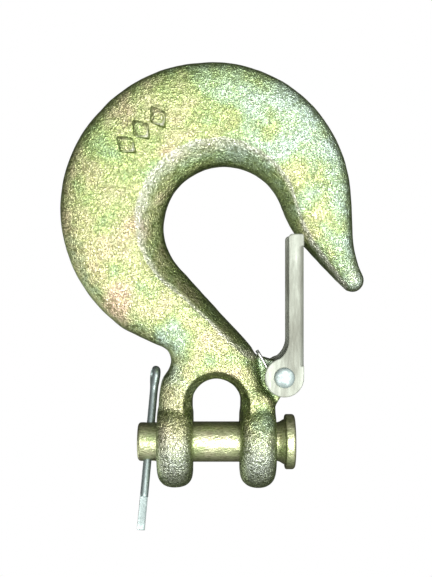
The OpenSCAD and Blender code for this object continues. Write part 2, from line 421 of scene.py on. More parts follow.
def soften(piece: Piece, width: float, angle: float, segments: int = 3) -> None:
    """Rounds a piece's sharp edges.

    Args:
        piece: the object.
        width: how wide the rounding is, in millimetres.
        angle: an edge is sharp above this many degrees.
        segments: faces across the rounding.
    """
    step = piece.modifiers.new("edge", "BEVEL")
    step.width = width * MM
    step.segments = segments
    step.limit_method = "ANGLE"
    step.angle_limit = math.radians(angle)
    settle(piece)


def finish_piece(piece: Piece, material: Material) -> None:
    """Gives a piece its one material and smooth shading.

    Args:
        piece: the object.
        material: what it is made of.
    """
    piece.data.materials.clear()
    piece.data.materials.append(material)
    piece.data.polygons.foreach_set("use_smooth", [True] * len(piece.data.polygons))
    piece.data.update()


# ---------------------------------------------------------------- finishes


# The Mix node's sockets for colours, which share their names with those for other types.
MIX_SHARE, MIX_FIRST, MIX_SECOND, MIX_RESULT = 0, 6, 7, 2

# Ranges over which one look goes over to another: how squarely the surface faces along Y for
# the rim's colour, a painted shade; how far it leans toward the bowl's centre for the crest's
# painted highlight and the painted shade in the hollow inside it; and the height in metres above
# which the crest begins.
RIM_SHADE_FACING = (0.45, 0.93)
CREST_START = (0.0, 0.08)
CREST_END = (0.20, 0.38)
CREST_ABOVE = (0.020, 0.030)
# The crest's colour is a painted highlight.
CREST_HIGHLIGHT = (1.0, 1.0, 0.86)
# Lean range of the painted shade inside the bowl's inner edge.
HOLLOW_SHADE_LEAN = (0.34, 0.75)
# Grain tones to multiply by: the dark specks are the forging's grain, and the stops above 1 make its bright
# lines painted glints.
GRAIN_AND_GLINT_STOPS = ((0.30, (0.30, 0.34, 0.20)), (0.45, (0.90, 0.92, 0.82)), (0.62, (1.70, 1.66, 1.70)))
LINE_STOPS = ((0.3, (0.78, 0.78, 0.78)), (0.7, (1.12, 1.12, 1.12)))


class Graph:
    """Short way to write a material's nodes."""

    def __init__(self, name: str) -> None:
        """Starts a material with one Principled shader and the object's coordinates.

        Args:
            name: the material's name.
        """
        self.material = bpy.data.materials.new(name)
        self.material.use_nodes = True
        self.tree = self.material.node_tree
        self.shader = self.tree.nodes["Principled BSDF"]
        coords = self.node("TexCoord")
        self.place, self.normal = coords.outputs["Object"], coords.outputs["Normal"]

    def node(self, kind: str, **values: Socket | Triple | float) -> Node:
        """Adds one node.

        Args:
            kind: the node's type, without its ShaderNode prefix.
            values: what its inputs get, by name with _ for a space: a socket or a plain value.

        Returns:
            The new node.
        """
        node = self.tree.nodes.new("ShaderNode" + kind)
        for name, value in values.items():
            self.feed(value, node.inputs[name.replace("_", " ")])
        return node

    def feed(self, source: Socket | Triple | float, target: Socket) -> None:
        """Gives an input its value.

        Args:
            source: a socket to link, or a plain value. A colour gets its alpha here.
            target: the input.
        """
        if isinstance(source, Socket):
            self.tree.links.new(source, target)
        elif target.type == "RGBA":
            target.default_value = (*source, 1.0)
        else:
            target.default_value = source

    def mapped(self, scale: Triple) -> Socket:
        """The object's coordinates, scaled by axis."""
        return self.node("Mapping", Vector=self.place, Scale=scale).outputs["Vector"]

    def noise(self, size: float, detail: float, rough: float, shift: float,
              vector: Socket | None = None) -> Socket:
        """Noise in space.

        Args:
            size: about how large its features are, in millimetres.
            detail: octaves added.
            rough: how strong each octave is against the last.
            shift: place along the fourth axis, for another pattern.
            vector: coordinates to use in place of the object's.

        Returns:
            The noise, from 0 to 1.
        """
        node = self.node("TexNoise", Scale=1.0 / (size * MM), Detail=detail, Roughness=rough,
                         Vector=self.place if vector is None else vector)
        node.noise_dimensions = "4D"
        node.inputs["W"].default_value = shift
        return node.outputs["Fac"]

    def ramp(self, source: Socket, stops: Stops) -> Socket:
        """Looks a colour up along stops.

        Args:
            source: where to look, from 0 to 1.
            stops: pairs of a place and its colour.

        Returns:
            The colour.
        """
        node = self.node("ValToRGB", Fac=source)
        node.color_ramp.interpolation = "B_SPLINE"
        while len(node.color_ramp.elements) < len(stops):
            node.color_ramp.elements.new(0.5)
        for element, (place, colour) in zip(node.color_ramp.elements, stops):
            element.position = place
            element.color = (*colour, 1.0)
        return node.outputs["Color"]

    def span(self, source: Socket, low: float, high: float,
             to_low: float = 0.0, to_high: float = 1.0) -> Socket:
        """A value carried from the range low to high to another, and held at its ends."""
        return self.node("MapRange", Value=source, From_Min=low, From_Max=high,
                         To_Min=to_low, To_Max=to_high).outputs["Result"]

    def mix(self, share: Socket | float, first: Socket | Triple, second: Socket | Triple,
            kind: str = "MIX") -> Socket:
        """Mixes two colours.

        Args:
            share: how much of the second is used.
            first: a colour.
            second: another.
            kind: the way of mixing, in Blender's words.

        Returns:
            The mixed colour.
        """
        node = self.node("Mix")
        node.data_type = "RGBA"
        node.blend_type = kind
        for slot, value in ((MIX_SHARE, share), (MIX_FIRST, first), (MIX_SECOND, second)):
            self.feed(value, node.inputs[slot])
        return node.outputs[MIX_RESULT]

    def maths(self, operation: str, first: Socket, second: Socket | float = 0.0) -> Socket:
        """One operation of the Math node.

        Args:
            operation: its name.
            first: a value.
            second: another, where the operation takes two.

        Returns:
            The result.
        """
        node = self.node("Math")
        node.operation = operation
        self.feed(first, node.inputs[0])
        self.feed(second, node.inputs[1])
        return node.outputs[0]

    def vectors(self, operation: str, first: Socket | Triple,
                second: Socket | Triple = (0.0, 0.0, 0.0)) -> Node:
        """One operation of the Vector Math node.

        Args:
            operation: its name.
            first: a vector.
            second: another, where the operation takes two.

        Returns:
            The node, whose result is a vector or a value.
        """
        node = self.node("VectorMath")
        node.operation = operation
        self.feed(first, node.inputs[0])
        self.feed(second, node.inputs[1])
        return node

    def drift(self, slope: Triple) -> Socket:
        """A value that grows along a slope, given as its growth per metre along each axis."""
        return self.vectors("DOT_PRODUCT", self.place, slope).outputs["Value"]

    def facing(self) -> Socket:
        """How squarely the surface faces along Y, on either side: 1 on the flat faces, 0 on the rim."""
        return self.maths("ABSOLUTE", self.node("SeparateXYZ", Vector=self.normal).outputs["Y"])

    def toward(self, point: Triple) -> Socket:
        """How far the surface leans toward a point.

        Args:
            point: its place in millimetres.

        Returns:
            The cosine between the surface's normal and the way to the point.
        """
        way = self.vectors("SUBTRACT", tuple(v * MM for v in point), self.place).outputs[0]
        unit = self.vectors("NORMALIZE", way).outputs[0]
        return self.vectors("DOT_PRODUCT", unit, self.normal).outputs["Value"]

    def bump(self, heights: list[tuple[Socket, float]]) -> None:
        """Puts relief on the shader's normal.

        Args:
            heights: pairs of a height from 0 to 1 and its depth in millimetres.
        """
        normal = None
        for height, depth in heights:
            node = self.node("Bump", Distance=depth * MM, Height=height)
            if normal is not None:
                self.feed(normal, node.inputs["Normal"])
            normal = node.outputs["Normal"]
        self.feed(normal, self.shader.inputs["Normal"])


@dataclass(frozen=True)
class Zone:
    """A part of a surface that goes over to its own colour.

    The change runs along a slope, from low to high in millimetres, and clouds of the
    ragged width break its edge.
    """

    slope: Triple
    low: float
    high: float
    share: float
    colour: Triple
    ragged: float = 0.0


@dataclass(frozen=True)
class ChromateFinish:
    """Yellow chromate over zinc, on a forged or turned surface.

    The rim's colour is painted shade where the surface turns away from Y. The crest is a painted
    highlight, a pale line along the inner edge of a bowl round the point crest_round, with painted
    shade further in.
    """

    name: str
    stops: Stops
    # rim: painted shade, the colour taken where the surface turns away from Y and inside a bowl's hollow.
    rim: Triple
    patch: float = 24.0
    grain: float = 0.55
    grain_depth: float = 0.16
    grain_tone: float = 0.9
    roughness: float = 0.34
    metallic: float = 0.9
    drawn: Triple = (1.0, 1.0, 1.0)
    seed: float = 1.7
    # crest_round: the centre that the painted highlight and the hollow's painted shade lean toward.
    crest_round: Triple | None = None
    drift: Triple = (0.0, 0.0, 0.0)
    zones: tuple[Zone, ...] = ()

    def clouded(self, g: Graph) -> Socket:
        """Makes the colour of the flat faces.

        Colour runs along the stops by two sizes of cloudy patches and the drift, and then
        each zone goes over to its own.

        Args:
            g: the material's nodes.

        Returns:
            The colour.
        """
        broad = g.noise(self.patch, 2.0, 0.5, self.seed)
        local = g.noise(self.patch * 0.3, 2.0, 0.5, self.seed + 5.0)
        level = g.maths("ADD", g.maths("MULTIPLY", local, 0.45), g.maths("MULTIPLY", broad, 0.55))
        level = g.maths("ADD", g.span(level, 0.34, 0.66), g.drift(self.drift))
        colour = g.ramp(level, self.stops)
        for zone in self.zones:
            cloud = g.span(local, 0.3, 0.7, -zone.ragged * MM, zone.ragged * MM)
            along = g.maths("ADD", g.drift(zone.slope), cloud)
            share = g.span(along, zone.low * MM, zone.high * MM, 0.0, zone.share)
            colour = g.mix(share, colour, zone.colour)
        return colour

    def painted_light_by_facing(self, g: Graph, colour: Socket) -> Socket:
        """Changes the colour where the surface turns away.

        It goes over to the rim's colour, a painted shade, where the surface turns away from Y. With a
        crest, it gets a painted highlight where the surface begins to lean into the bowl, and painted
        shade further in.

        Args:
            g: the material's nodes.
            colour: the flat faces' colour.

        Returns:
            The changed colour.
        """
        # Painted shade: the rim's colour where the surface turns away from Y.
        colour = g.mix(g.span(g.facing(), *RIM_SHADE_FACING, 0.85, 0.0), colour, self.rim)
        if self.crest_round is None:
            return colour
        lean = g.toward(self.crest_round)
        # Painted highlight: a pale band where the surface begins to lean into the bowl, above the crest's
        # height.
        band = g.span(lean, *CREST_START, 0.0, 0.7), g.span(lean, *CREST_END, 1.0, 0.0)
        crest = g.maths("MULTIPLY", *band)
        crest = g.maths("MULTIPLY", crest, g.span(g.drift((0.0, 0.0, 1.0)), *CREST_ABOVE))
        colour = g.mix(crest, colour, CREST_HIGHLIGHT)
        # Painted shade: the rim's colour further into the bowl's hollow.
        return g.mix(g.span(lean, *HOLLOW_SHADE_LEAN, 0.0, 0.75), colour, self.rim)

    def make(self) -> Material:
        """Builds the material, broken up by a fine bright and dark grain that its relief shares; the
        grain's brightest lines, lifted above white, are painted glints.

        Returns:
            The material.
        """
        g = Graph(self.name)
        colour = self.painted_light_by_facing(g, self.clouded(g))
        place = g.mapped(self.drawn)
        speck = g.noise(self.grain, 3.0, 0.7, 3.1, place)
        worm = g.noise(self.grain * 1.7, 2.0, 0.5, 9.4, place)
        ridge = g.span(g.maths("ABSOLUTE", g.maths("SUBTRACT", worm, 0.5)), 0.0, 0.10, 1.0, 0.0)
        # The dark specks of this tone are grain; its bright lines, lifted above white, are painted glints.
        grain_and_glint = g.maths("ADD", g.maths("MULTIPLY", speck, 0.7), g.maths("MULTIPLY", ridge, 0.35))
        colour = g.mix(self.grain_tone, colour, g.ramp(grain_and_glint, GRAIN_AND_GLINT_STOPS), "MULTIPLY")
        g.feed(colour, g.shader.inputs["Base Color"])
        rough = g.span(speck, 0.3, 0.7, self.roughness + 0.1, self.roughness - 0.1)
        g.feed(rough, g.shader.inputs["Roughness"])
        g.feed(self.metallic, g.shader.inputs["Metallic"])
        deep = self.grain_depth
        g.bump([(ridge, deep * 0.8), (worm, deep * 1.3), (speck, deep * 0.9)])
        return g.material


@dataclass(frozen=True)
class ZincFinish:
    """Clear zinc on sheet, wire or a rivet: a grey metal with smudges and drawn lines."""

    name: str
    pale: Triple
    dark: Triple
    smudge: float = 5.0
    roughness: float = 0.4
    metallic: float = 0.85
    drawn: Triple = (1.0, 1.0, 1.0)
    line: float = 0.25

    def make(self) -> Material:
        """Builds the material.

        Colour goes between pale and dark by cloudy smudges, and fine lines along the
        drawn direction change its brightness a little and give it relief.

        Returns:
            The material.
        """
        g = Graph(self.name)
        place = g.mapped(self.drawn)
        cloud = g.noise(self.smudge, 4.0, 0.6, 4.4, place)
        lines = g.noise(self.line, 3.0, 0.65, 8.8, place)
        colour = g.mix(g.span(cloud, 0.35, 0.62), self.dark, self.pale)
        g.feed(g.mix(1.0, colour, g.ramp(lines, LINE_STOPS), "MULTIPLY"), g.shader.inputs["Base Color"])
        rough = g.span(cloud, 0.35, 0.65, self.roughness + 0.12, self.roughness - 0.05)
        g.feed(rough, g.shader.inputs["Roughness"])
        g.feed(self.metallic, g.shader.inputs["Metallic"])
        g.bump([(g.noise(self.smudge * 0.3, 2.0, 0.5, 5.5), 0.05), (lines, 0.03)])
        return g.material


class Finish(Enum):
    """The finishes of the hook's pieces."""

    FORGED = ChromateFinish(
        "forged_chromate",
        (
            (0.0, (0.74, 0.92, 0.80)),
            (0.18, (0.66, 0.86, 0.62)),
            (0.36, (0.52, 0.68, 0.34)),
            (0.52, (0.70, 0.76, 0.36)),
            (0.70, (0.86, 0.82, 0.50)),
            (0.92, (0.90, 0.62, 0.50)),
        ),
        # rim: painted shade on the side walls and in the bowl's hollow.
        rim=(0.24, 0.31, 0.11),
        drift=(-6.0, 0.0, -1.5),
        crest_round=(2.3, 0.0, 64.2),
        zones=(
            # Painted shade: olive darkening toward the upper left, where the face turns away from the light.
            Zone((-0.7, 0.0, 0.7), 45.0, 110.0, 0.75, (0.36, 0.52, 0.16)),
            Zone((-0.6, 0.0, -0.8), -17.0, -5.0, 0.45, (0.96, 0.80, 0.56), 4.0),
            Zone((-1.0, 0.0, -0.3), 12.0, 28.0, 0.65, (0.97, 0.80, 0.50), 7.0),
            # The pale bill and tip: painted light, partly also wear.
            Zone((1.0, 0.0, -0.3), 22.0, 30.0, 0.85, (0.90, 1.00, 0.95), 1.0),
            Zone((0.0, 0.0, -1.0), -6.0, 3.0, 0.75, (0.64, 0.72, 0.66), 3.0),
        ),
    )
    PIN = ChromateFinish(
        "pin_chromate",
        (
            (0.0, (0.48, 0.58, 0.28)),
            (0.35, (0.64, 0.70, 0.38)),
            (0.65, (0.80, 0.83, 0.52)),
            (1.0, (0.72, 0.60, 0.42)),
        ),
        # rim: painted shade where the pin's round side turns away from Y.
        rim=(0.35, 0.36, 0.20),
        patch=9.0,
        grain=0.45,
        grain_depth=0.05,
        grain_tone=0.6,
        roughness=0.36,
        metallic=0.85,
        drawn=(0.45, 1.0, 1.0),
    )
    LATCH = ZincFinish(
        "latch_zinc",
        (0.44, 0.475, 0.40),
        (0.28, 0.29, 0.235),
        smudge=3.0,
        drawn=(1.0, 1.0, 0.15),
        line=0.5,
        roughness=0.5,
        metallic=0.35,
    )
    RIVET = ZincFinish(
        "rivet_zinc", (0.50, 0.59, 0.57), (0.38, 0.47, 0.45), smudge=1.6, roughness=0.42, metallic=0.5
    )
    COTTER = ZincFinish(
        "cotter_zinc", (0.50, 0.59, 0.57), (0.31, 0.38, 0.365), smudge=3.0, drawn=(1.0, 1.0, 0.05)
    )
    WIRE = ZincFinish("spring_wire", (0.70, 0.72, 0.69), (0.40, 0.42, 0.38), smudge=2.0, roughness=0.28)

    def make(self) -> Material:
        """Builds this finish's material."""
        return self.value.make()


# ---------------------------------------------------------------- the forging


@dataclass
class Forging:
    """The hook's one-piece body: bowl, bill, tip, shank, clevis ears and latch lug.

    A cross-section is a row of inner x, inner z, outer x, outer z, half thickness, inner
    power, outer power, where the inner bevel starts and how steep it is. The powers are
    the superellipse's at each edge: 2 is round and larger is squarer. The bevel's start is
    a share of the inner half's width, and its steepness is the share of the half thickness
    it loses for each half width.
    """

    material: Material
    pivot: tuple[float, float]
    half_gap: float
    bowl_r: float = 18.3
    bowl_centre: tuple[float, float] = (2.3, 64.2)
    half_t: float = 8.8
    width_angles: tuple[float, ...] = (20.0, 90.0, 160.0, 225.0)
    widths: tuple[float, ...] = (21.3, 30.3, 31.6, 24.4)
    tip_r: float = 3.3
    tip_t: float = 3.4
    tip_out: float = 20.1
    tip_drop: float = 15.9
    tip_heading: float = -60.0
    ear_t: float = 10.6
    ear_rim: float = 4.9
    ear_power: float = 2.3
    bore_r: float = 6.3
    eye_wall: float = 7.3
    arch_z: float = 12.0
    flare: float = 2.5
    flare_deep: float = 4.2
    lug_half: float = 3.4
    lug_r: float = 4.2
    ridge: float = 0.12
    skin: tuple[tuple[float, float], ...] = ((7.0, 0.10), (2.6, 0.055), (1.3, 0.030))
    skin_from_bore: float = 1.5
    flash_h: float = 0.16
    flash_w: float = 0.9
    flash_above: float = 8.0
    mark_angles: tuple[float, ...] = (121.5, 131.0, 140.5)
    mark_out: float = 37.0
    mark_w: float = 5.6
    mark_h: float = 7.8
    mark_rise: float = 1.15
    ring_points: int = 144
    voxel: float = 0.5

    def __post_init__(self) -> None:
        """Works out the sizes that follow from the others."""
        self.centre = np.array(self.bowl_centre)
        self.ear_x = self.half_gap + self.ear_t
        self.eye_r = self.bore_r + self.eye_wall
        self.arch_r = self.half_gap + 0.2
        self.tip_c = self.centre + np.array([self.bowl_r + self.tip_out, -self.tip_drop])
        self.shoulder = np.array([self.ear_x - 5.4, self.pivot[1] + 6.6])

    def width_at(self, angle: np.ndarray) -> np.ndarray:
        """Width of the bowl's section on rays from its centre.

        Args:
            angle: the rays' angles in degrees.

        Returns:
            Widths from a cubic Hermite curve through the named ones.
        """
        knots, values = np.array(self.width_angles), np.array(self.widths)
        slopes = (values[[1, 2, 3, 3]] - values[[0, 0, 1, 2]]) / (knots[[1, 2, 3, 3]] - knots[[0, 0, 1, 2]])
        i = np.clip(np.searchsorted(knots, angle, side="right") - 1, 0, 2)
        span = knots[i + 1] - knots[i]
        t = (angle - knots[i]) / span
        return (
            (2 * t**3 - 3 * t**2 + 1) * values[i]
            + (t**3 - 2 * t**2 + t) * span * slopes[i]
            + (3 * t**2 - 2 * t**3) * values[i + 1]
            + (t**3 - t**2) * span * slopes[i + 1]
        )

    def inner_at(self, angle: np.ndarray) -> np.ndarray:
        """Inside edge of the bowl on a ray from its centre."""
        return self.centre + self.bowl_r * direction(angle)

    def outer_at(self, angle: np.ndarray) -> np.ndarray:
        """Outside edge of the bowl on a ray from its centre."""
        return self.centre + (self.bowl_r + self.width_at(angle))[:, None] * direction(angle)

    def tip(self) -> np.ndarray:
        """Cross-sections of the tip's round end, each a chord of its circle.

        Returns:
            Cross-sections, one a row.
        """
        a = np.radians(np.linspace(84, 12, 12))[:, None]
        middle = self.tip_c + self.tip_r * np.sin(a) * direction(self.tip_heading)
        reach = self.tip_r * np.cos(a) * direction(self.tip_heading + 90)
        powers = np.tile([2.2, 2.4, 0.5, 0.0], (len(a), 1))
        return np.hstack([middle - reach, middle + reach, self.tip_t * np.cos(a), powers])

    def bill(self) -> np.ndarray:
        """Cross-sections from the tip to the bowl, whose two edges are Bezier curves.

        Returns:
            Cross-sections, one a row.
        """
        start = self.width_angles[0]
        first_in, first_out = self.inner_at(np.array([start])), self.outer_at(np.array([start]))
        tip_in = self.tip_c + self.tip_r * direction(-135.0)
        tip_out = self.tip_c + self.tip_r * direction(self.tip_heading + 90)
        t = np.linspace(1, 0, 60, endpoint=False)
        inner = bezier(np.vstack([
            first_in, first_in + 10 * direction(start - 90), tip_in - 16 * direction(-45.0), tip_in]), t)
        outer = bezier(np.vstack([
            first_out, first_out + 12 * direction(start - 102),
            tip_out - 9.5 * direction(-64.0), tip_out]), t)
        thick = self.half_t + (self.tip_t - self.half_t) * (0.35 * t + 0.65 * t**2)
        fade = (1 - t) ** 2
        rest = np.stack([thick, 2.3 + 2.2 * fade, 3.6 - 1.1 * t, 0.66 + 0.14 * t, 1.2 * fade], axis=1)
        return np.hstack([inner, outer, rest])

    def bowl(self) -> np.ndarray:
        """Cross-sections round the bowl, squarest at the outside and least bevelled halfway.

        Returns:
            Cross-sections, one a row.
        """
        start, end = self.width_angles[0], self.width_angles[-1]
        angle = np.linspace(start, end, 190, endpoint=False)
        share = (angle - start) / (end - start)
        swell = np.sin(np.pi * share)
        rest = np.stack([
            np.full(len(angle), self.half_t), 4.5 + 0.5 * share, 3.6 - 0.2 * share + 1.2 * swell,
            0.5 + 0.16 * (1 - share) ** 2 - 0.09 * swell**2, 1.2 - 0.2 * swell], axis=1)
        return np.hstack([self.inner_at(angle), self.outer_at(angle), rest])

    def neck(self) -> np.ndarray:
        """Cross-sections from the heel across to the clevis, on a curve through nine of them.

        Returns:
            Cross-sections, one a row.
        """
        last = np.array([self.width_angles[-1]])
        heel_in, heel_out = self.inner_at(last)[0], self.outer_at(last)[0]
        left = self.ear_x - 4.0
        neck_in = self.shoulder
        along = neck_in - heel_in
        t, x, z = self.half_t, self.ear_x, self.arch_z
        rows = [
            [*heel_in, *heel_out, t, 5.0, 3.4, 0.52, 1.2],
            [*(heel_in + 0.30 * along), -left - 6.6, 30.2, t, 5.2, 3.5, 0.62, 1.4],
            [*(heel_in + 0.62 * along), -left - 1.5, 27.9, t, 5.4, 3.8, 0.65, 1.5],
            [*(neck_in + [-1.2, 1.1]), -left, 25.2, t, 5.6, 4.4, 0.68, 1.2],
            [*(neck_in + [0.3, -4.4]), -left - 0.6, 22.0, t, 5.8, 4.2, 0.74, 0.8],
            [x - 4.2, z + 5.0, -x + 1.2, 18.2, t + 0.1, 6.0, 4.2, 0.80, 0.4],
            [x - 0.4, z + 0.3, -x + 0.4, 12.3, t + 0.4, 5.5, 4.5, 0.80, 0.0],
            [x - 0.3, 4.0, -x + 0.5, 4.0, t + 0.6, 5.0, 5.0, 0.80, 0.0],
            [x - 0.9, -2.0, -x + 0.9, -2.0, t + 0.6, 5.0, 5.0, 0.80, 0.0],
        ]
        return spline(np.array(rows), 14)

    def stations(self) -> np.ndarray:
        """Cross-sections from the tip to the clevis."""
        return np.vstack([self.tip(), self.bill(), self.bowl(), self.neck()])

    def sweep(self) -> Piece:
        """Carries a superellipse, bevelled on its inner half, through the cross-sections.

        With u from -1 at the inner edge to 1 at the outer, the half thickness is multiplied
        by 1 - steepness * (p + sqrt(p * p + ridge * ridge)) / 2, where p = -u - start: the
        bevel's edge is a soft ridge.

        Returns:
            The bar.
        """
        s = self.stations()
        a = np.linspace(0, 2 * np.pi, self.ring_points, endpoint=False)
        cosine, sine = np.cos(a)[None, :], np.sin(a)[None, :]
        power = np.where(cosine < 0, s[:, 5:6], s[:, 6:7])
        middle, half = (s[:, :2] + s[:, 2:4]) / 2, (s[:, 2:4] - s[:, :2]) / 2
        place = signed_power(np.broadcast_to(cosine, power.shape), power)
        across = middle[:, None, :] + place[:, :, None] * half[:, None, :]
        past = -place - s[:, 7:8]
        bevel = 1 - s[:, 8:9] * (past + np.hypot(past, self.ridge)) / 2
        through = signed_power(np.broadcast_to(sine, power.shape), power) * s[:, 4:5] * bevel
        return tube_object("bar", np.stack([across[:, :, 0], through, across[:, :, 1]], axis=-1))

    def arch_cutter(self) -> Piece:
        """Makes what opens the clevis: an arch carried along Y, with a steep flare at both faces.

        Returns:
            The cutter, which reaches far below the ears.
        """
        deep = self.half_t + 5.0
        y = np.linspace(-deep, deep, 81)
        grow = self.flare * np.clip((np.abs(y) - self.half_t + self.flare_deep) / self.flare_deep, 0, 2)
        arch = np.linspace(0, 180, 49)
        radius = self.arch_r + grow
        rings = np.zeros((len(y), len(arch) + 2, 3))
        rings[:, :, 1] = y[:, None]
        rings[:, 1:-1, 0] = radius[:, None] * np.cos(np.radians(arch))[None, :]
        rings[:, 1:-1, 2] = self.arch_z + radius[:, None] * np.sin(np.radians(arch))[None, :]
        rings[:, 0, 0], rings[:, -1, 0] = radius, -radius
        rings[:, [0, -1], 2] = -40.0
        return tube_object("arch", rings)

    def ear(self, side: int) -> Piece:
        """Makes one eye of the clevis, a thick disc about the pin with a full round rim.

        Args:
            side: -1 for the left or 1 for the right.

        Returns:
            The eye, with no bore yet.
        """
        a = np.radians(np.linspace(-90, 90, 61))
        x = signed_power(np.sin(a), self.ear_power) * self.ear_t / 2
        r = self.eye_r - self.ear_rim + self.ear_rim * signed_power(np.cos(a), self.ear_power)
        profile = np.stack([x + side * (self.half_gap + self.ear_t / 2), r], axis=1)
        return tube_object("ear", revolved(profile, 160))

    def lug(self) -> Piece:
        """Makes the plate that carries the latch, thinner than the body.

        Returns:
            The plate, with no rivet hole yet.
        """
        outline = np.vstack([
            arc(self.pivot, self.lug_r, -80, 100, 25),
            [self.shoulder - [0.6, 0.3], [self.half_gap + 1.5, self.arch_z + 9]],
            [[self.half_gap + 4.5, self.arch_z], [self.ear_x - 1.2, self.arch_z - 3]],
            [[self.ear_x + 1.1, self.arch_z + 1.2]],
        ])
        return tube_object("lug", carried(outline, (-self.lug_half, self.lug_half), 1))

    def raised_marks(self) -> list[Piece]:
        """Makes three plain lozenges, raised on the front face, that follow the bowl round.

        Returns:
            The lozenges, which reach a little way into the face.
        """
        corners = np.array([[1, 0], [0, 1], [-1, 0], [0, -1]]) * [self.mark_w / 2, self.mark_h / 2]
        outline = np.vstack([
            corners[k] * (1 - t) + corners[(k + 1) % 4] * t for k in range(4) for t in (0.12, 0.5, 0.88)])
        top = -self.mark_rise
        profile = ((1.06, 1.0), (1.06, 0.1), (0.97, -0.55), (0.84, top), (0.3, top))
        marks = []
        for angle in self.mark_angles:
            middle = self.centre + self.mark_out * direction(angle)
            along, away = direction(angle + 90), direction(angle)
            rings = []
            for grow, y in profile:
                flat = middle + (outline * grow)[:, :1] * along + (outline * grow)[:, 1:] * away
                rings.append(np.insert(flat, 1, y - self.half_t, axis=1))
            marks.append(tube_object("mark", np.array(rings)))
        return marks

    def weather(self, piece: Piece) -> None:
        """Adds the trimmed flash line and the forging's uneven skin.

        The skin is lattice noise of three sizes, and the flash is a Gaussian ridge across
        the parting plane y = 0, above the latch. Both keep clear of the pin's bore.

        Args:
            piece: the forging.
        """
        points, normals = coordinates(piece), vertex_normals(piece)
        uneven = sum(deep * lattice_noise(points, size, k) for k, (size, deep) in enumerate(self.skin, 1))
        clear = np.hypot(points[:, 1], points[:, 2]) > self.bore_r + self.skin_from_bore
        flash = self.flash_h * np.exp(-((points[:, 1] / self.flash_w) ** 2))
        above = points[:, 2] > self.pivot[1] + self.flash_above
        lift = np.where(clear, uneven + flash * above, 0.0)
        set_coordinates(piece, points + normals * lift[:, None])

    def build(self) -> Piece:
        """Makes the whole forging as one skin, and joins the raised marks to it.

        Returns:
            The forging.
        """
        bar = self.sweep()
        cut(bar, self.arch_cutter())
        parts = [bar, self.ear(-1), self.ear(1), self.lug()]
        for part in parts:
            cut(part, tube_object("bore", round_bar(self.bore_r, 128, 40.0)))
        across = round_bar(RIVET_HOLE_R, 128)[:, :, [1, 0, 2]]
        cut(parts[-1], tube_object("bore", across + [self.pivot[0], 0.0, self.pivot[1]]))
        piece = fuse("forged_hook", parts, self.voxel, 4)
        self.weather(piece)
        join(piece, self.raised_marks())
        finish_piece(piece, self.material)
        return piece


# ---------------------------------------------------------------- pin and cotter


@dataclass
class ClevisPin:
    """Headed pin, with a step down at each end of its bearing land and a cross hole."""

    material: Material
    tail_x: float
    head_x: float
    land_half: float
    land_r: float
    step: float = 0.25
    head_r: float = 8.2
    head_t: float = 3.0
    cotter_in: float = 3.3
    hole_r: float = 1.8

    def profile(self) -> np.ndarray:
        """Half outline of the pin.

        Returns:
            Rows of x and radius, from the tail's face to the head's face.
        """
        end_r = self.land_r - self.step
        under = self.head_x - self.head_t
        return np.vstack([
            [[self.tail_x, 0.02], [self.tail_x, 2.4], [self.tail_x + 0.05, end_r - 1.25]],
            arc((self.tail_x + 1.0, end_r - 1.0), 1.0, 180, 90, 8),
            [[-self.land_half - 0.35, end_r]],
            [[x, self.land_r] for x in (-self.land_half, -4.0, 0.0, 4.0, self.land_half)],
            [[self.land_half + 0.35, end_r]],
            [[under - x, end_r + r] for x, r in ((2.3, 0.0), (1.5, 0.25), (0.7, 0.75), (0.0, 1.1))],
            arc((under + 0.55, self.head_r - 0.55), 0.55, 180, 90, 6),
            arc((self.head_x - 0.95, self.head_r - 0.95), 0.95, 90, 0, 8),
            [[self.head_x, 5.2], [self.head_x - 0.02, 0.02]],
        ])

    def build(self, cotter_axis: np.ndarray) -> Piece:
        """Makes the pin, with its cross hole square to X.

        Args:
            cotter_axis: unit vector along the hole.

        Returns:
            The pin.
        """
        piece = tube_object("headed_pin", revolved(self.profile(), 192))
        swing = math.atan2(cotter_axis[1], cotter_axis[2])
        c, s = math.cos(swing), math.sin(swing)
        upright = round_bar(self.hole_r, 48)[:, :, [2, 1, 0]]
        hole = upright @ np.array([[1, 0, 0], [0, c, -s], [0, s, c]])
        cut(piece, tube_object("hole", hole + [self.tail_x + self.cotter_in, 0.0, 0.0]))
        finish_piece(piece, self.material)
        soften(piece, 0.16, 34.0)
        return piece


